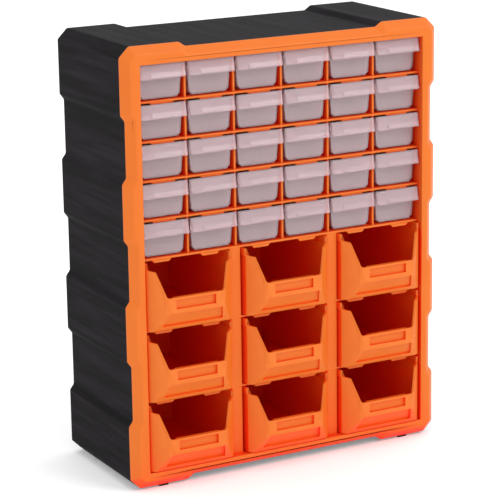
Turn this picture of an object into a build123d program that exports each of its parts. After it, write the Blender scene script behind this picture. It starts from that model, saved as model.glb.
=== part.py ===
from build123d import *
import math
import os

# Driving dimensions in millimetres. X runs left to right, Y front to back, Z up.
# The origin is on the ground, under the middle of the whole organizer.
case_width = 380.0
case_height = 473.0
case_depth = 160.0
foot_height = 2.0
bin_overhang = 12.0

# Outline of the cabinet: raised and recessed bands, as seen from the front.
corner_cut = 11.0
band_pitch = 65.3
band_slope = 6.1
band_step = 4.7
top_end_length = 68.0
top_slope = 7.4
top_step = 5.0

# Front frame and casing walls.
frame_depth = 9.5
frame_rim = 1.2
frame_bevel = 8.3
frame_wall = 2.4
collar_depth = 15.0
collar_wall = 2.2
mouth_border = 4.8
mouth_dip = 0.8
case_wall = 2.5

# Lattice of shelves, dividers and posts.
plate = 2.4
small_columns = 6
small_rows = 5
small_pitch_x = 57.0
small_pitch_z = 41.4
large_columns = 3
large_rows = 3
large_pitch_z = 77.3
large_pitch_x = 118.2
post_offset = 59.7
post_width = 13.0
post_wall = 2.0
lattice_bottom = 16.0
lattice_front = 10.0
divider_front = 12.5
lattice_back = 154.0
mouth_half_width = 170.3

# Stop tabs under the shelf edges.
tab_front = 9.6
tab_back = 11.6
small_tab = {"width": 28.0, "height": 1.6, "slant": 1.5}
large_tab = {"width": 22.6, "height": 2.8, "slant": 2.6}
large_tab_offset = 28.4

# Clear drawers. Heights are above the shelf that the drawer slides on.
drawer_front = 14.0
drawer_back = 150.0
drawer_half_top = 26.0
drawer_half_bottom = 25.2
drawer_floor = 1.3
drawer_top = 36.6
drawer_wall = 1.4
drawer_corner = 4.5
glide_width = 3.0
glide_offset = 18.0
glide_gap = 0.4
hood_half = 27.4
hood_top = 38.0
hood_bottom = 23.0
hood_top_y = 7.0
hood_bottom_y = 4.0
hood_wall = 1.5
hood_return = 9.4
label_bar = {"left": -14.0, "right": 26.0, "low": 24.4, "high": 29.4, "proud": 1.2}

# Open bins. Heights are above the shelf that the bin slides on.
bin_half = 50.2
bin_wall = 2.2
bin_floor = 0.5
bin_top = 74.0
bin_back = 150.0
prow_half = 34.0
prow_cheek_y = 4.2
cut_low = 37.7
cut_high = 67.4
cut_half_high = 41.3
ear_inner_low = 48.6
ear_inner_high = 49.4
undercut_high = 20.8
undercut_foot_y = 0.0
panel_inset = 2.4
panel_top_half = 31.0
panel_bottom_half = 43.0
panel_margin = 1.4
label_half = 23.4
label_low = 25.2
label_high = 36.4
label_depth = 3.0
rim_half = 51.3
rim_low = 66.0

# Feet and hanging slots.
foot_x = 151.0
foot_size = (11.0, 9.0)
foot_inset_y = 13.0
hang_x = 120.0
hang_z = 405.0
hang_head = 9.0
hang_slot = 5.0
hang_rise = 9.0

front_face = bin_overhang - (case_depth + bin_overhang) / 2
half_width = case_width / 2


def place(x, y, z):
    """A point whose depth counts back from the front face and whose height counts from the casing's base."""
    return Vector(x, front_face + y, foot_height + z)


def prism_back(points, y_start, y_end):
    """A solid with an outline in X and Z, from one depth to another."""
    face = Face(Wire.make_polygon([place(x, y_start, z) for x, z in points], close=True))
    return extrude(face, amount=y_end - y_start, dir=(0, 1, 0))


def prism_up(points, z_start, z_end):
    """A solid with an outline in X and depth, from one height to another."""
    face = Face(Wire.make_polygon([place(x, y, z_start) for x, y in points], close=True))
    return extrude(face, amount=z_end - z_start, dir=(0, 0, 1))


def prism_across(points, x_start, x_end):
    """A solid with an outline in depth and Z, from one X to another."""
    face = Face(Wire.make_polygon([place(x_start, y, z) for y, z in points], close=True))
    return extrude(face, amount=x_end - x_start, dir=(1, 0, 0))


def block(x0, x1, y0, y1, z0, z1):
    return prism_up([(x0, y0), (x1, y0), (x1, y1), (x0, y1)], z0, z1)


def rectangle(half, low, high):
    return [(-half, low), (half, low), (half, high), (-half, high)]


def mirrored(half_points):
    """Closes an outline from its right half, given from the bottom to the top."""
    return half_points + [(-x, z) for x, z in reversed(half_points)]


def offset_outline(points, inset):
    """Moves every side of an outline inwards by the same amount, keeping its corners sharp."""
    moved = []
    count = len(points)
    for i in range(count):
        before = points[i - 1]
        here = points[i]
        after = points[(i + 1) % count]
        a = (Vector(*here) - Vector(*before)).normalized()
        b = (Vector(*after) - Vector(*here)).normalized()
        normal_a = Vector(-a.Y, a.X)
        normal_b = Vector(-b.Y, b.X)
        bisector = normal_a + normal_b
        reach = inset * 2 / bisector.dot(bisector)
        moved.append((here[0] + bisector.X * reach, here[1] + bisector.Y * reach))
    return moved


def cabinet_outline():
    """The cabinet seen from the front, counter-clockwise: bands on every side and cut corners."""
    slope_inner = half_width - top_end_length - top_slope
    slope_outer = half_width - top_end_length
    half = [
        (slope_inner, top_step),
        (slope_outer, 0.0),
        (half_width - corner_cut, 0.0),
        (half_width, corner_cut),
    ]
    slopes = 6
    first = (case_height - (slopes - 1) * band_pitch - band_slope) / 2
    for k in range(slopes):
        low = first + k * band_pitch
        outer, inner = half_width, half_width - band_step
        start, end = (outer, inner) if k % 2 == 0 else (inner, outer)
        half.append((start, low))
        half.append((end, low + band_slope))
    half += [
        (half_width, case_height - corner_cut),
        (half_width - corner_cut, case_height),
        (slope_outer, case_height),
        (slope_inner, case_height - top_step),
    ]
    return mirrored(half)


def ruled(points_a, y_a, points_b, y_b):
    """A solid with straight sides between two outlines with the same number of corners."""
    wires = []
    for points, y in ((points_a, y_a), (points_b, y_b)):
        wires.append(Wire.make_polygon([place(x, y, z) for x, z in points], close=True))
    return Solid.make_loft(wires, ruled=True)


def merged(first, *others):
    """Joins solids into one, without the seams between them."""
    whole = first
    for other in others:
        whole = whole + other
    return whole.clean()


def save(shape, node):
    export_step(shape, f"parts/{node}.step")


# Heights of the shelves' middles, from the bottom plate to the top plate.
shelf_levels = [lattice_bottom + large_pitch_z * k for k in range(large_rows + 1)]
shelf_levels += [shelf_levels[-1] + small_pitch_z * k for k in range(1, small_rows + 1)]
mouth_low = shelf_levels[0] + plate / 2
mouth_high = shelf_levels[-1] - plate / 2
small_floors = [z + plate / 2 for z in shelf_levels[large_rows:-1]]
large_floors = [z + plate / 2 for z in shelf_levels[:large_rows]]
small_centres = [small_pitch_x * (k - (small_columns - 1) / 2) for k in range(small_columns)]
large_centres = [large_pitch_x * (k - (large_columns - 1) / 2) for k in range(large_columns)]


def make_casing():
    """Black outer shell, closed at the back, with two keyhole slots to hang it by."""
    outline = cabinet_outline()
    shell = prism_back(outline, frame_depth, case_depth)
    room = prism_back(offset_outline(outline, case_wall), frame_depth - 1, case_depth - case_wall)
    shell = shell - room
    for x in (-hang_x, hang_x):
        y_start, y_end = case_depth - case_wall - 1, case_depth + 1
        spot = Plane(origin=place(x, y_start, hang_z), x_dir=(1, 0, 0), z_dir=(0, 1, 0))
        shell = shell - extrude(spot * Circle(hang_head / 2), amount=y_end - y_start)
        top = Plane(origin=place(x, y_start, hang_z + hang_rise), x_dir=(1, 0, 0), z_dir=(0, 1, 0))
        shell = shell - extrude(top * Circle(hang_slot / 2), amount=y_end - y_start)
        slot = block(x - hang_slot / 2, x + hang_slot / 2, y_start, y_end, hang_z, hang_z + hang_rise)
        shell = shell - slot
    return shell


def make_front_frame():
    """Orange bezel: a bevelled skin around the mouth, and a collar that plugs into the casing."""
    outline = cabinet_outline()
    bevel_start = frame_depth - frame_rim
    skin = ruled(outline, bevel_start, offset_outline(outline, frame_bevel), 0.0)
    skin = merged(skin, prism_back(outline, bevel_start, frame_depth))
    room = ruled(
        offset_outline(outline, frame_wall),
        frame_depth + 0.01,
        offset_outline(outline, frame_bevel + frame_wall / 2),
        frame_wall,
    )
    skin = skin - room
    collar = prism_back(
        rectangle(mouth_half_width + collar_wall, mouth_low - collar_wall, mouth_high + collar_wall),
        frame_wall / 2,
        collar_depth,
    )
    skin = merged(skin, collar)
    mouth = rectangle(mouth_half_width, mouth_low, mouth_high)
    skin = skin - prism_back(mouth, -1.0, collar_depth + 1.0)
    wide = rectangle(
        mouth_half_width + mouth_border, mouth_low - mouth_border, mouth_high + mouth_border
    )
    return skin - ruled(wide, 0.0, mouth, mouth_dip)


def make_shelves():
    """Flat shelves across the whole mouth, one solid each."""
    shelves = []
    for level in shelf_levels[1:-1]:
        low, high = level - plate / 2, level + plate / 2
        half = mouth_half_width
        shelves.append(block(-half, half, lattice_front, lattice_back, low, high))
    for level in (shelf_levels[0], shelf_levels[-1]):
        low, high = level - plate / 2, level + plate / 2
        half = mouth_half_width + collar_wall
        shelves.append(block(-half, half, collar_depth, lattice_back, low, high))
    return Compound(children=shelves)


def make_dividers():
    """Upright walls between the clear drawers, one solid for each row and line."""
    walls = []
    for floor in small_floors:
        for k in range(1, small_columns):
            x = small_pitch_x * (k - small_columns / 2)
            top = floor + small_pitch_z - plate
            walls.append(block(x - plate / 2, x + plate / 2, divider_front, lattice_back, floor, top))
    return Compound(children=walls)


def make_posts():
    """Wide hollow posts between the bins, open at the back."""
    posts = []
    for floor in large_floors:
        for x in (-post_offset, post_offset):
            half = post_width / 2
            top = floor + large_pitch_z - plate
            post = block(x - half, x + half, lattice_front, lattice_back, floor, top)
            room = block(
                x - half + post_wall,
                x + half - post_wall,
                lattice_front + post_wall,
                lattice_back + 1,
                floor - 1,
                top + 1,
            )
            posts.append(post - room)
    return Compound(children=posts)


def make_tab(x, ceiling, size):
    """A slanted stop tab that hangs from a shelf's front edge."""
    half = size["width"] / 2
    low = ceiling - size["height"]
    points = [(x - half + size["slant"], low), (x + half - size["slant"], low)]
    points += [(x + half, ceiling), (x - half, ceiling)]
    return prism_back(points, tab_front, tab_back)


def make_small_tabs():
    tabs = []
    for floor in small_floors[:-1]:
        for x in small_centres:
            tabs.append(make_tab(x, floor + small_pitch_z - plate, small_tab))
    return Compound(children=tabs)


def make_large_tabs():
    tabs = []
    for floor in large_floors:
        for x in large_centres:
            for side in (-1, 1):
                middle = x + side * large_tab_offset
                tabs.append(make_tab(middle, floor + large_pitch_z - plate, large_tab))
    return Compound(children=tabs)


def make_feet():
    """Low pads under the ends of the base, two at the front and two at the back."""
    pads = []
    long, wide = foot_size
    for x in (-foot_x, foot_x):
        for y in (foot_inset_y, case_depth - foot_inset_y):
            pads.append(block(x - long / 2, x + long / 2, y - wide / 2, y + wide / 2, -foot_height, 0))
    return Compound(children=pads)


def shifted(shape, x, floor):
    return shape.moved(Location((x, 0, floor)))


def make_drawer():
    """Clear drawer with rounded lower corners, glides underneath and a hood to pull it by."""
    outer = [(-drawer_half_bottom, drawer_floor), (drawer_half_bottom, drawer_floor)]
    outer += [(drawer_half_top, drawer_top), (-drawer_half_top, drawer_top)]
    body = prism_back(outer, drawer_front, drawer_back)
    lower = body.edges().filter_by(Axis.Y).group_by(Axis.Z)[0]
    body = fillet(lower, drawer_corner)
    thick = drawer_wall
    inner = [(-drawer_half_bottom + thick, drawer_floor + thick)]
    inner += [(drawer_half_bottom - thick, drawer_floor + thick)]
    inner += [(drawer_half_top - thick, drawer_top + 1), (-drawer_half_top + thick, drawer_top + 1)]
    room = prism_back(inner, drawer_front + thick, drawer_back - thick)
    lower = room.edges().filter_by(Axis.Y).group_by(Axis.Z)[0]
    room = fillet(lower, drawer_corner - thick)
    body = body - room
    glides = []
    for x in (-glide_offset, glide_offset):
        half = glide_width / 2
        start, end = drawer_front + 6, drawer_back - 6
        glides.append(block(x - half, x + half, start, end, glide_gap, drawer_floor + thick / 2))
    plate_points = [(hood_bottom_y, hood_bottom), (hood_bottom_y + hood_wall, hood_bottom)]
    plate_points += [(hood_top_y + hood_wall, hood_top), (hood_top_y, hood_top)]
    front = prism_across(plate_points, -hood_half, hood_half)
    lid = block(-hood_half, hood_half, hood_top_y, hood_return, drawer_top - hood_wall, drawer_top)
    neck_half = drawer_half_top - 0.5
    neck = block(-neck_half, neck_half, hood_top_y, drawer_front + thick, drawer_top - hood_wall, drawer_top)
    side_points = [(hood_bottom_y, hood_bottom), (hood_return, hood_bottom)]
    side_points += [(hood_return, drawer_top), (hood_top_y, drawer_top)]
    sides = [
        prism_across(side_points, -hood_half, -hood_half + hood_wall),
        prism_across(side_points, hood_half - hood_wall, hood_half),
    ]
    lean = (hood_top_y - hood_bottom_y) / (hood_top - hood_bottom)
    low, high = label_bar["low"], label_bar["high"]
    low_y = hood_bottom_y + (low - hood_bottom) * lean
    high_y = hood_bottom_y + (high - hood_bottom) * lean
    proud = label_bar["proud"]
    bar_points = [(low_y - proud, low), (low_y + hood_wall / 2, low)]
    bar_points += [(high_y + hood_wall / 2, high), (high_y - proud, high)]
    bar = prism_across(bar_points, label_bar["left"], label_bar["right"])
    return merged(body, *glides, front, lid, neck, *sides, bar)


def plan_outline(inset):
    """The bin from above: a straight front between two slanted cheeks."""
    slant = inset * (math.sqrt(2) - 1)
    front_y = -bin_overhang + inset
    cheek_half = bin_half - inset
    return [
        (-prow_half + slant, front_y),
        (prow_half - slant, front_y),
        (cheek_half, prow_cheek_y + slant),
        (cheek_half, bin_back - inset),
        (-cheek_half, bin_back - inset),
        (-cheek_half, prow_cheek_y + slant),
    ]


def undercut(inset):
    """Everything below the slope under the bin's front."""
    run = undercut_foot_y + bin_overhang
    rise = undercut_high - bin_floor
    back = inset * math.hypot(run, rise) / rise
    slope = run / rise
    low, high = bin_floor - 10, undercut_high + 30
    foot_y = undercut_foot_y + back
    points = [(foot_y + slope * (bin_floor - low), low), (foot_y - slope * (high - bin_floor), high)]
    points += [(-60.0, high), (-60.0, low)]
    return prism_across(points, -bin_half - 5, bin_half + 5)


def make_bin():
    """Open bin with a three-sided front, a cut-away for the hand and a panel set under the front."""
    hull = prism_up(plan_outline(0), bin_floor, bin_top) - undercut(0)
    room_start = bin_floor + bin_wall
    room = prism_up(plan_outline(bin_wall), room_start, bin_top + 1) - undercut(bin_wall + panel_inset)
    hull = hull - room
    cut = [(prow_half, cut_low), (cut_half_high, cut_high), (ear_inner_low, cut_high)]
    cut += [(ear_inner_high, bin_top + 1)]
    hull = hull - prism_back(mirrored(cut), -bin_overhang - 1, prow_cheek_y + 4)
    seat = rectangle(label_half + bin_wall, label_low - bin_wall, cut_low)
    hull = hull + prism_back(seat, -bin_overhang + bin_wall / 2, -bin_overhang + label_depth + bin_wall)
    label = rectangle(label_half, label_low, label_high)
    hull = hull - prism_back(label, -bin_overhang - 1, -bin_overhang + label_depth)
    run = undercut_foot_y + bin_overhang
    rise = undercut_high - bin_floor
    length = math.hypot(run, rise)
    slope_plane = Plane(
        origin=place(0, -bin_overhang, undercut_high),
        x_dir=(1, 0, 0),
        z_dir=(0, -rise, -run),
    )
    top, bottom = 0.6, length - panel_margin
    sign = 1 if slope_plane.y_dir.Z < 0 else -1
    corners = [(-panel_top_half, sign * top), (panel_top_half, sign * top)]
    corners += [(panel_bottom_half, sign * bottom), (-panel_bottom_half, sign * bottom)]
    outline = Wire.make_polygon([slope_plane.from_local_coords(Vector(*c)) for c in corners], close=True)
    inset = extrude(Face(outline), amount=panel_inset, dir=-slope_plane.z_dir)
    hull = hull - inset
    rims = []
    for side in (-1, 1):
        inner, outer = side * (bin_half - 0.3), side * rim_half
        x0, x1 = min(inner, outer), max(inner, outer)
        rims.append(block(x0, x1, prow_cheek_y + 1, bin_back, rim_low, bin_top))
    return merged(hull, *rims)


os.makedirs("parts", exist_ok=True)
save(make_casing(), "casing_shell")
save(make_front_frame(), "front_frame")
save(make_shelves(), "lattice_shelves")
save(make_dividers(), "lattice_dividers")
save(make_posts(), "lattice_posts")
save(make_small_tabs(), "drawer_stop_tabs")
save(make_large_tabs(), "bin_stop_tabs")
save(make_feet(), "feet")
drawer = make_drawer()
for row, floor in enumerate(reversed(small_floors), start=1):
    for column, x in enumerate(small_centres, start=1):
        save(shifted(drawer, x, floor), f"drawer_row{row}_col{column}")
open_bin = make_bin()
for row, floor in enumerate(reversed(large_floors), start=1):
    for column, x in enumerate(large_centres, start=1):
        save(shifted(open_bin, x, floor), f"bin_row{row}_col{column}")
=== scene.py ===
import math

import bmesh
import bpy
from mathutils import Matrix, Vector


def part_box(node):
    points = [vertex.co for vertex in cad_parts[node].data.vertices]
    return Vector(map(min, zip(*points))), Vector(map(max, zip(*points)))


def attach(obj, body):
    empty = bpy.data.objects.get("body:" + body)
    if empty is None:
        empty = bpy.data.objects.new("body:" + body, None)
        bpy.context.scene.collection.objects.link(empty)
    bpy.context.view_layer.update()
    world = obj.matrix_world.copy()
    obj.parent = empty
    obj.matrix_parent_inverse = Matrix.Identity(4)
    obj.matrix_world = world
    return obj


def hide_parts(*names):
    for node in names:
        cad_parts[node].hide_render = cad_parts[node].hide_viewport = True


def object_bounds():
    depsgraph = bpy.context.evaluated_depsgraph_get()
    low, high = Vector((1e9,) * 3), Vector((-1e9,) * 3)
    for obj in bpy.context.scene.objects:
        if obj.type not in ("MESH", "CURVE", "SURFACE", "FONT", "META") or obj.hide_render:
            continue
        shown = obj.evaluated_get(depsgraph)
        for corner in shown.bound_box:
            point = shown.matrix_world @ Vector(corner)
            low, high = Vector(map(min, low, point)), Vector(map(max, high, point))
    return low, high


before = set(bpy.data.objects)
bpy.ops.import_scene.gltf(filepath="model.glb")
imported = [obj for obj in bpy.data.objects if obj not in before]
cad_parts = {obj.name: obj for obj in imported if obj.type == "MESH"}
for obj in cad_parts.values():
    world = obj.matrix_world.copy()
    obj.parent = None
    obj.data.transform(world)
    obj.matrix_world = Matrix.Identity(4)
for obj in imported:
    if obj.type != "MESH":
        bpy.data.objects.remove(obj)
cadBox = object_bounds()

mm = 0.001
scene = bpy.context.scene
scene.view_settings.view_transform = "Standard"
print("frame loaded:", len(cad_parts), "nodes")


# small helpers

def hexColor(code):
    # sRGB hex to the linear colour the shader wants
    channels = [int(code[i:i + 2], 16) / 255 for i in (0, 2, 4)]
    return [c / 12.92 if c <= 0.04045 else ((c + 0.055) / 1.055) ** 2.4 for c in channels] + [1.0]


def addNode(tree, kind, values=None, links=None, **settings):
    # one node with its settings, socket values and incoming links
    node = tree.nodes.new(kind)
    for name, value in settings.items():
        setattr(node, name, value)
    for socket, value in (values or {}).items():
        node.inputs[socket].default_value = value
    for socket, source in (links or {}).items():
        tree.links.new(source, node.inputs[socket])
    return node


def newMaterial(name):
    material = bpy.data.materials.new(name)
    material.use_nodes = True
    material.node_tree.nodes.clear()
    return material, material.node_tree


# camera

cameraValues = {
    "azimuth": -28.81,  # degrees round from the front, to the object's left
    "elevation": 14.49,
    "roll": -0.795,
    "distance": 2406 * mm,
    "lens": 157.3,  # mm on a 36 mm sensor
    "aimOffset": (-3.1, 6.0, -13.8),  # mm from the middle of the object's box
}


def makeCamera(values):
    middle = (cadBox[0] + cadBox[1]) / 2
    aim = middle + Vector(values["aimOffset"]) * mm
    azimuth, elevation, roll = (math.radians(values[k]) for k in ("azimuth", "elevation", "roll"))
    back = Vector((
        math.sin(azimuth) * math.cos(elevation),
        -math.cos(azimuth) * math.cos(elevation),
        math.sin(elevation),
    ))
    right = (-back).cross(Vector((0, 0, 1))).normalized()
    up = right.cross(-back)
    turnedRight = right * math.cos(roll) + up * math.sin(roll)
    turnedUp = up * math.cos(roll) - right * math.sin(roll)
    data = bpy.data.cameras.new("camera")
    data.lens = values["lens"]
    data.sensor_width = 36.0
    data.clip_end = 50.0
    camera = bpy.data.objects.new("camera", data)
    scene.collection.objects.link(camera)
    turn = Matrix((turnedRight, turnedUp, back)).transposed().to_4x4()
    camera.matrix_world = Matrix.Translation(aim + back * values["distance"]) @ turn
    scene.camera = camera


makeCamera(cameraValues)
print("camera placed")


# materials

orangeValues = {
    "base": "e0721f",  # pigment colour of the polypropylene
    "paintedBounceRed": "ff1800",  # red painted where walls stand close, standing in for light reddened by many bounces between them
    "paintedBounceReach": 110.0,  # mm, how near the other walls have to be for the painted bounce red
    "thin": "ef8238",  # paler where an edge is thin or rubbed
    "deep": "da6a1b",
    "grain": 1.4,  # mm, the spark-eroded grain is about 0.3 mm, coarser here so that it shows
    "mottle": 45.0,  # mm, slow drift of the pigment across a moulding
    "roughness": (0.38, 0.52),
    "grainHeight": 0.02,  # mm
}


def orangePolypropylene(name, values, seed):
    # injection-moulded polypropylene: dense pigment, a satin skin, and painted bounce light, a deep red
    # painted where other walls are close
    material, tree = newMaterial(name)
    place = addNode(tree, "ShaderNodeTexCoord")
    shift = addNode(tree, "ShaderNodeMapping", {"Location": (seed, seed * 0.37, -seed * 0.61)},
                    {"Vector": place.outputs["Object"]})
    mottle = addNode(tree, "ShaderNodeTexNoise",
                     {"Scale": 1 / (values["mottle"] * mm), "Detail": 3.0, "Roughness": 0.55},
                     {"Vector": shift.outputs["Vector"]})
    grain = addNode(tree, "ShaderNodeTexNoise",
                    {"Scale": 1 / (values["grain"] * mm), "Detail": 2.0, "Roughness": 0.6},
                    {"Vector": shift.outputs["Vector"]})
    pigment = addNode(tree, "ShaderNodeMix",
                      {"A": hexColor(values["deep"]), "B": hexColor(values["base"])},
                      data_type="RGBA")
    tree.links.new(mottle.outputs["Fac"], pigment.inputs["Factor"])
    edges = addNode(tree, "ShaderNodeNewGeometry")
    rubbed = addNode(tree, "ShaderNodeMapRange",
                     {"From Min": 0.52, "From Max": 0.62, "To Min": 0.0, "To Max": 0.55},
                     {"Value": edges.outputs["Pointiness"]})
    broken = addNode(tree, "ShaderNodeMath", {},
                     {0: rubbed.outputs["Result"], 1: mottle.outputs["Fac"]}, operation="MULTIPLY")
    color = addNode(tree, "ShaderNodeMix", {"B": hexColor(values["thin"])},
                    {"Factor": broken.outputs["Value"]}, data_type="RGBA")
    tree.links.new(pigment.outputs["Result"], color.inputs["A"])
    # painted bounce light: ambient occlusion turns the colour deep red near other walls, standing in for
    # light reddened between them
    paintedBounceOcclusion = addNode(tree, "ShaderNodeAmbientOcclusion",
                        {"Distance": values["paintedBounceReach"] * mm}, samples=4)
    paintedBounceOpenness = addNode(tree, "ShaderNodeMapRange", {"From Min": 0.1, "From Max": 0.6},
                     {"Value": paintedBounceOcclusion.outputs["AO"]})
    paintedBounceColor = addNode(tree, "ShaderNodeMix", {"A": hexColor(values["paintedBounceRed"])},
                      {"Factor": paintedBounceOpenness.outputs["Result"], "B": color.outputs["Result"]},
                      data_type="RGBA")
    low, high = values["roughness"]
    rough = addNode(tree, "ShaderNodeMapRange", {"To Min": low, "To Max": high},
                    {"Value": grain.outputs["Fac"]})
    bump = addNode(tree, "ShaderNodeBump", {"Strength": 0.35, "Distance": values["grainHeight"] * mm},
                   {"Height": grain.outputs["Fac"]})
    shader = addNode(tree, "ShaderNodeBsdfPrincipled",
                     {"IOR": 1.49, "Metallic": 0.0, "Specular IOR Level": 0.28},
                     {"Base Color": paintedBounceColor.outputs["Result"], "Roughness": rough.outputs["Result"],
                      "Normal": bump.outputs["Normal"]})
    addNode(tree, "ShaderNodeOutputMaterial", {}, {"Surface": shader.outputs["BSDF"]})
    return material


blackValues = {
    "base": "191719",
    "paintedReflectionTint": "262326",
    "grain": 1.6,  # mm, the real leather-like grain is about 0.5 mm, coarser here so that it shows
    "paintedReflectionWidth": 9.0,  # mm across the painted reflection streaks
    "paintedReflectionLength": 160.0,  # mm along them, from the front rim to the back
    "roughness": (0.54, 0.68),
    "grainHeight": 0.05,
}


def blackPolypropylene(name, values):
    # recycled black polypropylene: charcoal, satin, with faint painted reflection streaks running front to
    # back
    material, tree = newMaterial(name)
    place = addNode(tree, "ShaderNodeTexCoord")
    wide, long = values["paintedReflectionWidth"] * mm, values["paintedReflectionLength"] * mm
    paintedReflectionStretch = addNode(tree, "ShaderNodeMapping", {"Scale": (1 / wide, 1 / long, 1 / wide)},
                        {"Vector": place.outputs["Object"]})
    # painted reflection: lighter streaks running front to back, standing in for the stepped outline
    # mirrored in the satin surface
    paintedReflections = addNode(tree, "ShaderNodeTexNoise", {"Scale": 1.0, "Detail": 4.0, "Roughness": 0.6},
                      {"Vector": paintedReflectionStretch.outputs["Vector"]})
    grain = addNode(tree, "ShaderNodeTexNoise",
                    {"Scale": 1 / (values["grain"] * mm), "Detail": 3.0, "Roughness": 0.65},
                    {"Vector": place.outputs["Object"]})
    paintedReflectionAmount = addNode(tree, "ShaderNodeMapRange", {"From Min": 0.42, "From Max": 0.68},
                     {"Value": paintedReflections.outputs["Fac"]})
    color = addNode(tree, "ShaderNodeMix",
                    {"A": hexColor(values["base"]), "B": hexColor(values["paintedReflectionTint"])},
                    {"Factor": paintedReflectionAmount.outputs["Result"]}, data_type="RGBA")
    low, high = values["roughness"]
    rough = addNode(tree, "ShaderNodeMapRange", {"To Min": low, "To Max": high},
                    {"Value": grain.outputs["Fac"]})
    bump = addNode(tree, "ShaderNodeBump", {"Strength": 0.4, "Distance": values["grainHeight"] * mm},
                   {"Height": grain.outputs["Fac"]})
    shader = addNode(tree, "ShaderNodeBsdfPrincipled",
                     {"IOR": 1.49, "Metallic": 0.0, "Specular IOR Level": 0.03},
                     {"Base Color": color.outputs["Result"], "Roughness": rough.outputs["Result"],
                      "Normal": bump.outputs["Normal"]})
    addNode(tree, "ShaderNodeOutputMaterial", {}, {"Surface": shader.outputs["BSDF"]})
    return material


frostValues = {
    "base": "f7e1e5",
    "grain": 1.2,  # mm, the frosting is finer than 0.1 mm, coarser here so that it shows
    "haze": 22.0,  # mm, slow change in how cloudy the wall is
    "roughness": (0.2, 0.3),
    "transmission": 0.73,
    "grainHeight": 0.02,
}


def frostedPolypropylene(name, values):
    # natural polypropylene, matt-moulded: milky, lets light and blurred colour through
    material, tree = newMaterial(name)
    place = addNode(tree, "ShaderNodeTexCoord")
    haze = addNode(tree, "ShaderNodeTexNoise",
                   {"Scale": 1 / (values["haze"] * mm), "Detail": 2.0},
                   {"Vector": place.outputs["Object"]})
    grain = addNode(tree, "ShaderNodeTexNoise",
                    {"Scale": 1 / (values["grain"] * mm), "Detail": 2.0},
                    {"Vector": place.outputs["Object"]})
    low, high = values["roughness"]
    rough = addNode(tree, "ShaderNodeMapRange", {"To Min": low, "To Max": high},
                    {"Value": haze.outputs["Fac"]})
    bump = addNode(tree, "ShaderNodeBump", {"Strength": 0.3, "Distance": values["grainHeight"] * mm},
                   {"Height": grain.outputs["Fac"]})
    shader = addNode(tree, "ShaderNodeBsdfPrincipled",
                     {"IOR": 1.49, "Base Color": hexColor(values["base"]),
                      "Transmission Weight": values["transmission"]},
                     {"Roughness": rough.outputs["Result"], "Normal": bump.outputs["Normal"]})
    addNode(tree, "ShaderNodeOutputMaterial", {}, {"Surface": shader.outputs["BSDF"]})
    return material


orangeFrame = orangePolypropylene("orangePolypropyleneFrame", orangeValues, 0.0)
orangeBin = orangePolypropylene("orangePolypropyleneBin", orangeValues, 3.1)
blackShell = blackPolypropylene("blackPolypropyleneShell", blackValues)
frosted = frostedPolypropylene("frostedPolypropyleneDrawer", frostValues)
print("materials made")


# mesh helpers
# Pieces are drawn in millimetres: x from the middle, y back from the front face, z up from a base.

caseLow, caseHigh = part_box("casing_shell")
frameLow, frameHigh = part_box("front_frame")
frontFace = frameLow.y / mm
baseLevel = caseLow.z / mm


class Sheet:
    # a surface drawn face by face; points that coincide are shared
    def __init__(self):
        self.indices = {}
        self.spots = []
        self.faces = []

    def point(self, spot):
        key = tuple(round(c, 3) for c in spot)
        if key not in self.indices:
            self.indices[key] = len(self.spots)
            self.spots.append(key)
        return self.indices[key]

    def face(self, *spots):
        loop = []
        for spot in spots:
            index = self.point(spot)
            if index not in loop:
                loop.append(index)
        if len(loop) > 2:
            self.faces.append(loop)

    def ring(self, first, second, closed=True):
        # quads between two loops with the same number of points
        count = len(first)
        for i in range(count if closed else count - 1):
            j = (i + 1) % count
            self.face(first[i], first[j], second[j], second[i])

    def box(self, low, high):
        corners = [(low[0], low[2]), (high[0], low[2]), (high[0], high[2]), (low[0], high[2])]
        self.prism(corners, low[1], high[1])

    def prism(self, outline, front, back):
        # a closed block with an outline counter-clockwise in x and z
        self.face(*atDepth(outline, front))
        self.ring(atDepth(outline, back), atDepth(outline, front))
        self.face(*reversed(atDepth(outline, back)))

    def piece(self, name, origin):
        # origin is where the drawing's zero lies, in millimetres
        mesh = bpy.data.meshes.new(name)
        mesh.from_pydata([Vector(s) * mm for s in self.spots], [], self.faces)
        mesh.validate()
        obj = bpy.data.objects.new(name, mesh)
        obj.location = Vector(origin) * mm
        scene.collection.objects.link(obj)
        return obj


def atDepth(outline, y):
    return [(x, y, z) for x, z in outline]


def mirrored(half):
    # closes an outline from its right half, given from the bottom to the top
    return half + [(-x, z) for x, z in reversed(half)]


def rectangle(half, low, high):
    return [(-half, low), (half, low), (half, high), (-half, high)]


def cell(xs, zs, i, j):
    # one square of a grid, counter-clockwise
    return [(xs[i], zs[j]), (xs[i + 1], zs[j]), (xs[i + 1], zs[j + 1]), (xs[i], zs[j + 1])]


def offsetOutline(outline, inset):
    # every side moved inwards by the same amount, corners kept sharp
    moved = []
    count = len(outline)
    for i in range(count):
        before, here, after = (Vector(outline[k % count]) for k in (i - 1, i, i + 1))
        a, b = (here - before).normalized(), (after - here).normalized()
        normals = Vector((-a.y, a.x)) + Vector((-b.y, b.x))
        reach = here + normals * (inset * 2 / normals.dot(normals))
        moved.append((reach.x, reach.y))
    return moved


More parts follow.
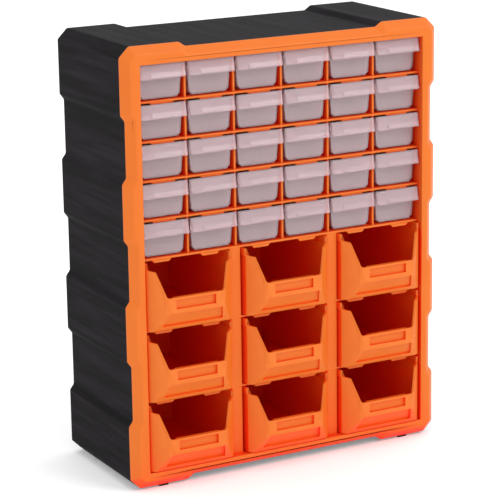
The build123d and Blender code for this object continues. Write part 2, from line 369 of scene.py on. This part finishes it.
def rounded(chain, radii, steps=4):
    # an open chain of points whose inner corners become arcs; radii is {index: radius}
    result = []
    for i, spot in enumerate(chain):
        radius = radii.get(i, 0)
        if not radius:
            result.append(spot)
            continue
        here = Vector(spot)
        a = (Vector(chain[i - 1]) - here).normalized()
        b = (Vector(chain[(i + 1) % len(chain)]) - here).normalized()
        halfAngle = a.angle(b) / 2
        reach = radius / math.tan(halfAngle)
        center = here + (a + b).normalized() * (radius / math.sin(halfAngle))
        start, end = here + a * reach - center, here + b * reach - center
        for k in range(steps + 1):
            turned = start.slerp(end, k / steps)
            result.append(tuple(center + turned))
    return result


def markEdges(obj, weightOf):
    # weightOf takes an edge's two ends in millimetres and gives its share of the bevel width
    mesh = obj.data
    layer = mesh.attributes.new("bevel_weight_edge", "FLOAT", "EDGE")
    for edge in mesh.edges:
        a, b = (mesh.vertices[i].co / mm for i in edge.vertices)
        layer.data[edge.index].value = weightOf(a, b)


def addBevel(obj, width, segments=2, angle=30, byWeight=False):
    bevel = obj.modifiers.new("bevel", "BEVEL")
    bevel.width = width * mm
    bevel.segments = segments
    bevel.limit_method = "WEIGHT" if byWeight else "ANGLE"
    bevel.angle_limit = math.radians(angle)
    bevel.use_clamp_overlap = not byWeight


def addWall(obj, thickness):
    # gives the sheet its wall, behind the drawn side
    wall = obj.modifiers.new("wall", "SOLIDIFY")
    wall.thickness = thickness * mm
    wall.offset = -1.0
    wall.use_even_offset = True
    wall.use_quality_normals = True


def cutOut(obj, cutter):
    cut = obj.modifiers.new("cut", "BOOLEAN")
    cut.operation = "DIFFERENCE"
    cut.solver = "EXACT"
    cut.object = cutter


def bake(obj):
    # turns the modifiers into the mesh, with flats shaded flat and bevels shaded round
    for polygon in obj.data.polygons:
        polygon.use_smooth = True
    weighted = obj.modifiers.new("normals", "WEIGHTED_NORMAL")
    weighted.weight = 90
    graph = bpy.context.evaluated_depsgraph_get()
    mesh = bpy.data.meshes.new_from_object(
        obj.evaluated_get(graph), preserve_all_data_layers=True, depsgraph=graph)
    obj.modifiers.clear()
    old, obj.data = obj.data, mesh
    bpy.data.meshes.remove(old)
    mesh.name = obj.name
    return obj


def settle(obj, material, body, slotName, *nodes):
    obj.data.materials.clear()
    obj.data.materials.append(material)
    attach(obj, body)
    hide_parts(*nodes)


# casing and front frame

cabinetValues = {
    "cornerCut": 11.0,
    "bandPitch": 65.3,
    "bandSlope": 6.1,
    "bandStep": 4.7,
    "topEnd": 68.0,
    "topSlope": 7.4,
    "topStep": 5.0,
    "rim": 1.2,  # straight part of the frame's edge, behind its bevel
    "bevel": 8.3,
    "frameWall": 2.4,
    "mouthBorder": 4.8,
    "mouthDip": 0.8,
    "caseWall": 2.5,
    "edgeRadius": 1.5,
    "rimShare": 0.5,  # share of the edge radius on the frame's outer rim
    "mouthShare": 0.4,  # the same round the mouth
    "cutEdge": 0.4,  # radius on the casing's rim and the keyholes
    "hang": {"x": 120.0, "z": 405.0, "head": 4.5, "slot": 2.5, "rise": 9.0},
}


def cabinetOutline(values):
    halfWidth, height = caseHigh.x / mm, (caseHigh.z - caseLow.z) / mm
    slopeOuter = halfWidth - values["topEnd"]
    slopeInner = slopeOuter - values["topSlope"]
    half = [(slopeInner, values["topStep"]), (slopeOuter, 0.0)]
    half += [(halfWidth - values["cornerCut"], 0.0), (halfWidth, values["cornerCut"])]
    slopes = 6
    first = (height - (slopes - 1) * values["bandPitch"] - values["bandSlope"]) / 2
    for k in range(slopes):
        low = first + k * values["bandPitch"]
        outer, inner = halfWidth, halfWidth - values["bandStep"]
        ends = (outer, inner) if k % 2 == 0 else (inner, outer)
        half += [(ends[0], low), (ends[1], low + values["bandSlope"])]
    half += [(halfWidth, height - values["cornerCut"]), (halfWidth - values["cornerCut"], height)]
    half += [(slopeOuter, height), (slopeInner, height - values["topStep"])]
    return mirrored(half)


def makeCasing(values):
    outline = cabinetOutline(values)
    start, end = (caseLow.y - frameLow.y) / mm, (caseHigh.y - frameLow.y) / mm
    sheet = Sheet()
    sheet.ring(atDepth(outline, end), atDepth(outline, start))
    sheet.face(*reversed(atDepth(outline, end)))
    casing = sheet.piece("casing_moulding", (0, frontFace, baseLevel))
    markEdges(casing, lambda a, b: 0.0 if max(a.y, b.y) < start + 1 else 1.0)
    addBevel(casing, values["edgeRadius"], 3, byWeight=True)
    addWall(casing, values["caseWall"])
    hang = values["hang"]
    cutters = []
    for side in (-1, 1):
        keyhole = Sheet()
        around = []
        neck = math.degrees(math.asin(hang["slot"] / hang["head"]))
        for k in range(21):
            turn = math.radians(90 + neck + (360 - 2 * neck) * k / 20)
            around.append((hang["head"] * math.cos(turn), hang["head"] * math.sin(turn)))
        for k in range(9):
            turn = math.radians(180 * k / 8)
            around.append((hang["slot"] * math.cos(turn), hang["rise"] + hang["slot"] * math.sin(turn)))
        keyhole.prism(around, end - 8, end + 4)
        cutter = keyhole.piece("keyhole", (side * hang["x"], frontFace, baseLevel + hang["z"]))
        cutOut(casing, cutter)
        cutters.append(cutter)
    addBevel(casing, values["cutEdge"], 2, 35)
    bake(casing)
    for cutter in cutters:
        bpy.data.objects.remove(cutter)
    settle(casing, blackShell, "cabinet", "black_shell", "casing_shell")


def makeFrontFrame(values):
    outline = cabinetOutline(values)
    depth = (caseLow.y - frameLow.y) / mm
    collarEnd = (frameHigh.y - frameLow.y) / mm
    mouthHalf, mouthLow, mouthHigh = mouth
    border = values["mouthBorder"]
    face = atDepth(offsetOutline(outline, values["bevel"]), 0.0)
    edge = atDepth(outline, depth - values["rim"])
    wide = atDepth(rectangle(mouthHalf + border, mouthLow - border, mouthHigh + border), 0.0)
    lip = atDepth(rectangle(mouthHalf, mouthLow, mouthHigh), values["mouthDip"])
    inner = atDepth(rectangle(mouthHalf, mouthLow, mouthHigh), collarEnd)
    sheet = Sheet()
    sheet.ring(atDepth(outline, depth), edge)
    sheet.ring(edge, face)
    # the flat face in four parts, which meet at the mouth's corners and at the outline's cut corners
    corners = [3, 16, 23, 36]
    for k, start in enumerate(corners):
        end = corners[(k + 1) % 4]
        last = end if end > start else end + len(face)
        stretch = [face[i % len(face)] for i in range(start, last + 1)]
        sheet.face(*stretch, wide[(k + 2) % 4], wide[(k + 1) % 4])
    sheet.ring(wide, lip)
    sheet.ring(lip, inner)
    frontFrame = sheet.piece("front_frame_moulding", (0, frontFace, baseLevel))

    def isOutside(p):
        near = border + 0.1
        return abs(p.x) > mouthHalf + near or not mouthLow - near < p.z < mouthHigh + near

    def weightOf(a, b):
        outside = [isOutside(p) for p in (a, b)]
        if all(outside):
            onRim = min(a.y, b.y) > depth - values["rim"] - 0.1 and abs(a.y - b.y) < 0.1
            return values["rimShare"] if onRim else 1.0
        if any(outside) or max(a.y, b.y) < 0.1 or min(a.y, b.y) > collarEnd - 1:
            return 0.0
        return values["mouthShare"] if max(a.y, b.y) < collarEnd - 1 or abs(a.y - b.y) > 5 else 0.0

    markEdges(frontFrame, weightOf)
    addBevel(frontFrame, values["edgeRadius"], 3, byWeight=True)
    addWall(frontFrame, values["frameWall"])
    bake(frontFrame)
    settle(frontFrame, orangeFrame, "cabinet", "orange_frame", "front_frame")


# lattice

latticeValues = {
    "plate": 2.4,
    "postWidth": 13.0,
    "postWall": 2.0,
    "binGap": 0.5,  # a bin's floor above its shelf
    "glideGap": 0.4,
    "collarWall": 2.2,
    "postEdge": 0.9,
    "postEndShare": 0.12,  # share of the post's edge radius at its ends
    "tabEdge": 0.35,
    "smallTab": {"width": 28.0, "height": 1.6, "slant": 1.5},
    "largeTab": {"width": 22.6, "height": 2.8, "slant": 2.6, "offset": 28.4},
    "edge": 0.45,
}
smallRows, smallColumns, largeRows, largeColumns = 5, 6, 3, 3


def floorAndMiddle(node, gap):
    low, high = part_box(node)
    return low.z / mm - baseLevel - gap, (low.x + high.x) / 2 / mm


def floorsOf(kind, rows, gap):
    return [floorAndMiddle(f"{kind}_row{r}_col1", gap)[0] for r in range(1, rows + 1)]


def middlesOf(kind, columns):
    return [floorAndMiddle(f"{kind}_row1_col{c}", 0)[1] for c in range(1, columns + 1)]


smallFloors = floorsOf("drawer", smallRows, latticeValues["glideGap"])
smallMiddles = middlesOf("drawer", smallColumns)
largeFloors = floorsOf("bin", largeRows, latticeValues["binGap"])
largeMiddles = middlesOf("bin", largeColumns)
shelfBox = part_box("lattice_shelves")
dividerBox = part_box("lattice_dividers")
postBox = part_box("lattice_posts")
# half width, bottom and top of the opening in the front frame
mouth = (
    shelfBox[1].x / mm - latticeValues["collarWall"],
    largeFloors[-1],
    shelfBox[1].z / mm - baseLevel - latticeValues["plate"],
)


def makeLattice(values):
    # shelves and dividers are one moulding: solid cells of a grid, joined without seams
    plate = values["plate"]
    front, back = shelfBox[0].y / mm - frontFace, shelfBox[1].y / mm - frontFace
    setBack = dividerBox[0].y / mm - frontFace
    mouthHalf, mouthLow, mouthHigh = mouth
    shelfTops = sorted(smallFloors + largeFloors)[1:]
    pitchX = smallMiddles[1] - smallMiddles[0]
    lines = [m + pitchX / 2 for m in smallMiddles[:-1]]
    xs = sorted([-mouthHalf, mouthHalf] + [x + s * plate / 2 for x in lines for s in (-1, 1)])
    zs = sorted(shelfTops + [t - plate for t in shelfTops] + [mouthHigh])
    sheet = Sheet()
    solid = set()
    for i in range(len(xs) - 1):
        for j in range(len(zs) - 1):
            isShelf = zs[j + 1] - zs[j] < plate + 0.1
            isDivider = xs[i + 1] - xs[i] < plate + 0.1 and zs[j] > shelfTops[2] - 0.1
            if isShelf or isDivider:
                solid.add((i, j))

    def frontOf(place):
        return front if zs[place[1] + 1] - zs[place[1]] < plate + 0.1 else setBack

    steps = [(0, -1), (1, 0), (0, 1), (-1, 0)]
    for i, j in sorted(solid):
        square = cell(xs, zs, i, j)
        near = frontOf((i, j))
        sheet.face(*atDepth(square, near))
        sheet.face(*reversed(atDepth(square, back)))
        for k, (di, dj) in enumerate(steps):
            neighbour = (i + di, j + dj)
            (ax, az), (bx, bz) = square[k], square[(k + 1) % 4]
            far = back if neighbour not in solid else frontOf(neighbour)
            stops = [y for y in (near, setBack, back) if near <= y <= far]
            for start, end in zip(stops[:-1], stops[1:]):
                if end > start:
                    sheet.face((ax, end, az), (bx, end, bz), (bx, start, bz), (ax, start, az))
    lattice = sheet.piece("lattice_moulding", (0, frontFace, baseLevel))
    plates = Sheet()
    halfPlate = shelfBox[1].x / mm
    start = frameHigh.y / mm - frontFace  # where the frame's collar ends
    for low in (mouthLow - plate, mouthHigh):
        plates.box((-halfPlate, start, low), (halfPlate, back, low + plate))
    sides = Sheet()
    for side in (-1, 1):
        x0, x1 = sorted((side * mouthHalf, side * halfPlate))
        sides.box((x0, start, mouthLow), (x1, back, mouthHigh))
    # joins the grid's faces wherever they lie in one plane
    grid = bmesh.new()
    grid.from_mesh(lattice.data)
    bmesh.ops.dissolve_limit(grid, angle_limit=0.01, verts=grid.verts, edges=grid.edges)
    grid.to_mesh(lattice.data)
    grid.free()
    addBevel(lattice, values["edge"], 2, 40)
    bake(lattice)
    settle(lattice, orangeFrame, "cabinet", "orange_frame", "lattice_dividers", "lattice_shelves")
    for name, outer in (("lattice_end_plates", plates), ("lattice_side_plates", sides)):
        outer = outer.piece(name, (0, frontFace, baseLevel))
        addBevel(outer, values["edge"], 2, 40)
        bake(outer)
        settle(outer, orangeFrame, "cabinet", "orange_frame")


def makePosts(values):
    # wide channels between the bins, open at the back
    front, back = (postBox[k].y / mm - frontFace for k in (0, 1))
    half, wall, plate = values["postWidth"] / 2, values["postWall"], values["plate"]
    reach = postBox[1].x / mm - half
    tops = sorted(largeFloors + [min(smallFloors)])
    sheet = Sheet()
    for low, high in zip(tops[:-1], tops[1:]):
        high -= plate
        for x in (-reach, reach):
            channel = [(x - half, back), (x - half, front), (x + half, front), (x + half, back)]
            channel += [(x + half - wall, back), (x + half - wall, front + wall)]
            channel += [(x - half + wall, front + wall), (x - half + wall, back)]
            lower = [(a, b, low) for a, b in channel]
            upper = [(a, b, high) for a, b in channel]
            sheet.ring(lower, upper)
            sheet.face(*reversed(lower))
            sheet.face(*upper)
    posts = sheet.piece("lattice_posts_moulding", (0, frontFace, baseLevel))

    def weightOf(a, b):
        isUpright = abs(a.z - b.z) > 10
        return 1.0 if isUpright and max(a.y, b.y) < front + 0.1 else values["postEndShare"]

    markEdges(posts, weightOf)
    addBevel(posts, values["postEdge"], 3, byWeight=True)
    bake(posts)
    settle(posts, orangeFrame, "cabinet", "orange_frame", "lattice_posts")


def makeTabs(name, node, places, size, edge):
    # slanted stop tabs hanging from the shelves' front edges; places are (x, ceiling)
    low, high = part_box(node)
    front, back = low.y / mm - frontFace, high.y / mm - frontFace
    half, slant = size["width"] / 2, size["slant"]
    sheet = Sheet()
    for x, ceiling in places:
        bottom = ceiling - size["height"]
        outline = [(x - half + slant, bottom), (x + half - slant, bottom)]
        outline += [(x + half, ceiling), (x - half, ceiling)]
        sheet.prism(outline, front, back)
    tabs = sheet.piece(name, (0, frontFace, baseLevel))
    addBevel(tabs, edge, 2, 30)
    bake(tabs)
    settle(tabs, orangeFrame, "cabinet", "orange_frame", node)


def makeAllTabs(values):
    plate, edge = values["plate"], values["tabEdge"]
    under = sorted(smallFloors)[1:]
    places = [(x, top - plate) for top in under for x in smallMiddles]
    makeTabs("drawer_tabs_moulding", "drawer_stop_tabs", places, values["smallTab"], edge)
    offset = values["largeTab"]["offset"]
    under = sorted(largeFloors + [min(smallFloors)])[1:]
    places = [(x + s * offset, top - plate) for top in under for x in largeMiddles for s in (-1, 1)]
    makeTabs("bin_tabs_moulding", "bin_stop_tabs", places, values["largeTab"], edge)


feetValues = {"long": 11.0, "wide": 9.0, "edge": 0.6}


def makeFeet(values):
    low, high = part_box("feet")
    long, wide = values["long"], values["wide"]
    sheet = Sheet()
    y0, y1 = low.y / mm - frontFace, high.y / mm - frontFace
    for x in (low.x / mm, high.x / mm - long):
        for y in (y0, y1 - wide):
            sheet.box((x, y, low.z / mm - baseLevel), (x + long, y + wide, 0.0))
    feet = sheet.piece("feet_pads", (0, frontFace, baseLevel))
    addBevel(feet, values["edge"], 3, 30)
    bake(feet)
    settle(feet, blackShell, "cabinet", "black_shell", "feet")


# bins

binValues = {
    "half": 50.2,
    "wall": 2.2,
    "floor": 0.5,
    "top": 74.0,
    "back": 150.0,
    "front": -12.0,
    "prowHalf": 34.0,
    "cheekY": 4.2,
    "cutLow": 37.7,
    "cutHigh": 67.4,
    "cutHalfHigh": 41.3,
    "earLow": 49.2,
    "earHigh": 49.6,
    "underHigh": 20.8,
    "footHalf": 46.0,
    "panelInset": 2.4,
    "panelTopHalf": 31.0,
    "panelBottomHalf": 43.0,
    "panelMargins": (0.6, 1.4),
    "panelCorner": 5.0,
    "labelHalf": 23.4,
    "labelLow": 25.2,
    "labelHigh": 35.4,
    "labelDepth": 3.0,
    "rimHalf": 51.3,
    "rimLow": 65.5,
    "rimBend": 67.0,
    "rimStart": 5.4,
    "earCorner": 0.4,
    "cutCorner": 3.0,
    "mitre": 2.4,  # rounding between the front and the cheeks
    "sideShare": 0.35,  # share of the mitre where the cheeks meet the sides
    "floorShare": 0.5,  # the same round the floor
    "edge": 0.45,
}


def makeBinShape(values):
    front, floor, top, back = (values[k] for k in ("front", "floor", "top", "back"))
    half, prow, foot = values["half"], values["prowHalf"], values["footHalf"]
    label, labelLow, labelHigh = values["labelHalf"], values["labelLow"], values["labelHigh"]
    underHigh, cutLow = values["underHigh"], values["cutLow"]
    sheet = Sheet()
    # front panel around the label's recess
    xs = [-prow, -label, label, prow]
    zs = [underHigh, labelLow, labelHigh, cutLow]
    for i in range(3):
        for j in range(3):
            if (i, j) != (1, 1):
                sheet.face(*atDepth(cell(xs, zs, i, j), front))
    recess = rectangle(label, labelLow, labelHigh)
    sheet.ring(atDepth(recess, front), atDepth(recess, front + values["labelDepth"]))
    sheet.face(*atDepth(recess, front + values["labelDepth"]))
    # cheeks at 45 degrees, with the cut-away and the ear
    ear = [(half, top), (values["earHigh"], top), (values["earLow"], values["cutHigh"])]
    ear += [(values["cutHalfHigh"], values["cutHigh"]), (prow, cutLow)]
    ear = rounded(ear, {2: values["earCorner"], 3: values["cutCorner"]})
    cheek = [(prow, underHigh), (foot, floor), (half, floor)]
    cheek += [(half, values["rimLow"]), (half, values["rimBend"])]
    cheek += ear + [(prow, labelHigh), (prow, labelLow)]
    right = [(x, front + x - prow, z) for x, z in cheek]
    left = [(-x, y, z) for x, y, z in reversed(right)]
    sheet.face(*right)
    sheet.face(*left)
    # undercut slope with its sunk panel
    run, rise = foot - prow, underHigh - floor
    length = math.hypot(run, rise)

    def onSlope(x, down, sunk=0.0):
        y = front + (run * down + rise * sunk) / length
        return x, y, underHigh - (rise * down - run * sunk) / length

    upper, lower = values["panelMargins"][0], length - values["panelMargins"][1]
    topHalf, bottomHalf = values["panelTopHalf"], values["panelBottomHalf"]
    rightSide = [(topHalf, upper), (bottomHalf, lower), (0.0, lower)]
    rightSide = rounded(rightSide, {1: values["panelCorner"]})[:-1]
    leftSide = [(-x, d) for x, d in reversed(rightSide)]
    sheet.face(*[onSlope(x, d) for x, d in [(foot, length), (prow, 0.0)] + rightSide])
    sheet.face(*[onSlope(x, d) for x, d in leftSide + [(-prow, 0.0), (-foot, length)]])
    sheet.face(*[onSlope(x, d) for x, d in [(-foot, length), (foot, length), rightSide[-1], leftSide[0]]])
    brow = [leftSide[-1], rightSide[0], (prow, 0.0), (label, 0.0), (-label, 0.0), (-prow, 0.0)]
    sheet.face(*[onSlope(x, d) for x, d in brow])
    loop = list(reversed(leftSide + rightSide))
    sunk = values["panelInset"]
    sheet.ring([onSlope(x, d) for x, d in loop], [onSlope(x, d, sunk) for x, d in loop])
    sheet.face(*[onSlope(x, d, sunk) for x, d in loop])
    # floor, sides with their outward rims, and back
    cheekY = values["cheekY"]
    footY = front + foot - prow
    sheet.face((-foot, footY, floor), (-half, cheekY, floor), (-half, back, floor),
               (half, back, floor), (half, cheekY, floor), (foot, footY, floor))
    ys = [cheekY, values["rimStart"], back]
    rows = [floor, values["rimLow"], values["rimBend"], top]

    def sideX(y, z):
        return values["rimHalf"] if y > cheekY + 0.1 and z > values["rimLow"] + 0.1 else half

    for y0, y1 in zip(ys[:-1], ys[1:]):
        for z0, z1 in zip(rows[:-1], rows[1:]):
            quad = [(sideX(y, z), y, z) for y, z in ((y0, z0), (y1, z0), (y1, z1), (y0, z1))]
            sheet.face(*quad)
            sheet.face(*[(-x, y, z) for x, y, z in reversed(quad)])
    wing = [(sideX(back, z), z) for z in rows]
    sheet.face(*reversed(atDepth(mirrored(wing), back)))
    shape = sheet.piece("bin_shape", (0, 0, 0))

    def weightOf(a, b):
        isUpright = abs(a.z - b.z) > 0.5
        onProw = abs(abs(a.x) - prow) < 0.01 and abs(abs(b.x) - prow) < 0.01
        if onProw and isUpright and a.y < front + 0.1:
            return 1.0
        onSide = min(abs(a.x), abs(b.x)) > half - 0.1
        if onSide and isUpright and max(a.y, b.y) < cheekY + 0.1:
            return values["sideShare"]
        if min(a.y, b.y) > back - 0.1 and isUpright:
            return 1.0
        return values["floorShare"] if max(a.z, b.z) < floor + 0.1 else 0.0

    markEdges(shape, weightOf)
    addBevel(shape, values["mitre"], 3, byWeight=True)
    addWall(shape, values["wall"])
    addBevel(shape, values["edge"], 2, 32)
    return bake(shape)


def makeBins(values):
    shape = makeBinShape(values)
    for r in range(1, largeRows + 1):
        for c in range(1, largeColumns + 1):
            node = f"bin_row{r}_col{c}"
            copy = bpy.data.objects.new(f"open_{node}", shape.data.copy())
            copy.data.name = copy.name
            copy.location = Vector((largeMiddles[c - 1], frontFace, baseLevel + largeFloors[r - 1])) * mm
            scene.collection.objects.link(copy)
            settle(copy, orangeBin, node, "orange_bin", node)
    bpy.data.objects.remove(shape)


# clear drawers

drawerValues = {
    "front": 14.0,
    "back": 150.0,
    "halfTop": 26.0,
    "halfBottom": 25.5,
    "floor": 1.3,
    "top": 36.6,
    "wall": 1.4,
    "corner": 3.6,
    "glide": (16.5, 19.5, 0.4),  # inner edge, outer edge, height above the shelf
    "glideInset": 6.0,
    "hoodHalf": 27.35,
    "hoodTop": 38.0,
    "hoodLow": 23.0,
    "hoodTopY": 7.0,
    "hoodLowY": 4.0,
    "hoodReturn": 9.4,
    "hoodRadius": 3.0,
    "bar": {"left": -14.0, "low": 24.4, "high": 29.4, "proud": (1.15, 0.2)},
    "edge": 0.3,
}


def makeDrawerShape(values):
    front, back, floor, top = (values[k] for k in ("front", "back", "floor", "top"))
    halfTop, halfBottom = values["halfTop"], values["halfBottom"]
    inner, outer, glideLow = values["glide"]
    sheet = Sheet()
    # body: a trough with rounded lower corners, its floor stepped down at the glides
    right = rounded([(0.0, floor), (halfBottom, floor), (halfTop, top)], {1: values["corner"]}, 5)[1:]
    right = [(inner, floor), (outer, floor)] + right
    trough = [(-x, z) for x, z in reversed(right)] + right
    ys = [front, front + values["glideInset"], back - values["glideInset"], back]
    for k in range(3):
        for a, b in zip(trough[:-1], trough[1:]):
            isGlide = a[1] == b[1] == floor and {abs(a[0]), abs(b[0])} == {inner, outer}
            near = [(a[0], ys[k], a[1]), (b[0], ys[k], b[1])]
            far = [(b[0], ys[k + 1], b[1]), (a[0], ys[k + 1], a[1])]
            if not (isGlide and k == 1):
                sheet.face(near[1], near[0], far[1], far[0])
                continue
            rim = [near[1], near[0], far[1], far[0]]
            foot = [(x, y, glideLow) for x, y, z in rim]
            sheet.ring(rim, foot)
            sheet.face(*foot)
    sheet.face(*atDepth(trough, front))
    sheet.face(*reversed(atDepth(trough, back)))
    # hood: a lid, a leaning front plate with a raised label bar, and short returns
    lean = (values["hoodTopY"] - values["hoodLowY"]) / (values["hoodTop"] - values["hoodLow"])
    half, radius, tail = values["hoodHalf"], values["hoodRadius"], values["hoodReturn"]
    bar = values["bar"]
    low = values["hoodLow"]

    def plateY(z):
        return values["hoodLowY"] + (z - low) * lean

    def lidZ(y):
        return values["hoodTop"] - (y - values["hoodTopY"]) * lean

    def column(share, z):
        # share 0 is the back end of the return, 1 where the arc starts, 2 where it ends
        y = plateY(z)
        if share <= 1:
            return half, tail + (y + radius - tail) * share
        turn = math.radians(90 * (share - 1))
        return half - radius + radius * math.cos(turn), y + radius - radius * math.sin(turn)

    shares = [0.0, 1.0, 1.25, 1.5, 1.75, 2.0]
    lifts = [4.5, 1.8, 1.0, 0.45, 0.1, 0.0]  # the lower corners are cut back
    columns = []
    for share, lift in zip(shares, lifts):
        bottom = low + lift
        x, y = column(share, values["hoodTop"])
        spots = [(x, y, lidZ(y))]
        for z in (bar["high"], max(bar["low"], bottom + 1.0), bottom):
            x, y = column(share, z)
            spots.append((x, y, z))
        columns.append(spots)
    for a, b in zip(columns[:-1], columns[1:]):
        for k in range(3):
            sheet.face(b[k + 1], a[k + 1], a[k], b[k])
            quad = [b[k + 1], a[k + 1], a[k], b[k]]
            sheet.face(*[(-x, y, z) for x, y, z in reversed(quad)])
    flat = half - radius
    left, barLow, barHigh = bar["left"], bar["low"], bar["high"]

    def onPlate(outline, proud=(0.0, 0.0)):
        # proud is how far the lower and upper edge stand out from the plate
        share = [(z - barLow) / (barHigh - barLow) for x, z in outline]
        return [(x, plateY(z) - proud[0] * (1 - t) - proud[1] * t, z) for (x, z), t in zip(outline, share)]

    xs = [-flat, left, flat]
    zs = [low, barLow, barHigh, values["hoodTop"]]
    for i in range(2):
        for j in range(3):
            square = cell(xs, zs, i, j)
            if (i, j) == (1, 1):
                # the bar stands out most at its lower edge, so its face looks up a little
                sheet.ring(onPlate(square), onPlate(square, bar["proud"]))
                sheet.face(*onPlate(square, bar["proud"]))
            else:
                sheet.face(*onPlate(square))
    lid = [spots[0] for spots in columns]
    path = [(-x, y, z) for x, y, z in lid] + [(left, values["hoodTopY"], values["hoodTop"])] + lid[::-1]
    sheet.face(*path, (halfTop, front, top), (-halfTop, front, top))
    shape = sheet.piece("drawer_shape", (0, 0, 0))
    addWall(shape, values["wall"])
    addBevel(shape, values["edge"], 2, 32)
    return bake(shape)


def makeDrawers(values):
    shape = makeDrawerShape(values)
    for r in range(1, smallRows + 1):
        for c in range(1, smallColumns + 1):
            node = f"drawer_row{r}_col{c}"
            copy = bpy.data.objects.new(f"clear_{node}", shape.data.copy())
            copy.data.name = copy.name
            copy.location = Vector((smallMiddles[c - 1], frontFace, baseLevel + smallFloors[r - 1])) * mm
            scene.collection.objects.link(copy)
            settle(copy, frosted, node, "clear_drawer", node)
    bpy.data.objects.remove(shape)


makeCasing(cabinetValues)
print("casing made")
makeFrontFrame(cabinetValues)
print("front frame made")
makeLattice(latticeValues)
makePosts(latticeValues)
makeAllTabs(latticeValues)
makeFeet(feetValues)
print("lattice made")
makeBins(binValues)
print("bins made")
makeDrawers(drawerValues)
print("drawers made")


# floor and light

stageValues = {
    "floor": "fafafa",
    "floorReach": 9.0,  # m from the middle to each side
    "world": 1.0,
    "key": {"place": (1.2, -2.0, 2.2), "size": 1.4, "power": 22.0},
    "top": {"place": (0.0, 0.3, 2.8), "size": 2.2, "power": 6.0},
}


def matteFloor(code):
    # white studio board: matt, with a trace of tooth
    material, tree = newMaterial("matteStudioBoard")
    place = addNode(tree, "ShaderNodeTexCoord")
    tooth = addNode(tree, "ShaderNodeTexNoise", {"Scale": 1 / (4 * mm)},
                    {"Vector": place.outputs["Object"]})
    bump = addNode(tree, "ShaderNodeBump", {"Strength": 0.05, "Distance": 0.1 * mm},
                   {"Height": tooth.outputs["Fac"]})
    shader = addNode(tree, "ShaderNodeBsdfPrincipled",
                     {"Base Color": hexColor(code), "Roughness": 0.9,
                      "Emission Color": hexColor("ffffff"), "Emission Strength": 0.2},
                     {"Normal": bump.outputs["Normal"]})
    addNode(tree, "ShaderNodeOutputMaterial", {}, {"Surface": shader.outputs["BSDF"]})
    return material


def makeFloor(values):
    reach = values["floorReach"]
    mesh = bpy.data.meshes.new("floor")
    corners = [(-reach, -reach, 0), (reach, -reach, 0), (reach, reach, 0), (-reach, reach, 0)]
    mesh.from_pydata(corners, [], [(0, 1, 2, 3)])
    floor = bpy.data.objects.new("floor", mesh)
    scene.collection.objects.link(floor)
    mesh.materials.append(matteFloor(values["floor"]))


def makeLight(name, values, aim):
    data = bpy.data.lights.new(name, "AREA")
    data.shape = "DISK"
    data.size = values["size"]
    data.energy = values["power"]
    light = bpy.data.objects.new(name, data)
    light.location = values["place"]
    light.rotation_mode = "QUATERNION"
    light.rotation_quaternion = (aim - Vector(values["place"])).to_track_quat("-Z", "Y")
    scene.collection.objects.link(light)


def makeStage(values):
    makeFloor(values)
    world = bpy.data.worlds.new("studio")
    world.use_nodes = True
    world.node_tree.nodes["Background"].inputs["Color"].default_value = (1, 1, 1, 1)
    world.node_tree.nodes["Background"].inputs["Strength"].default_value = values["world"]
    scene.world = world
    aim = (cadBox[0] + cadBox[1]) / 2
    makeLight("key", values["key"], aim)
    makeLight("top", values["top"], aim)


makeStage(stageValues)
print("stage set")
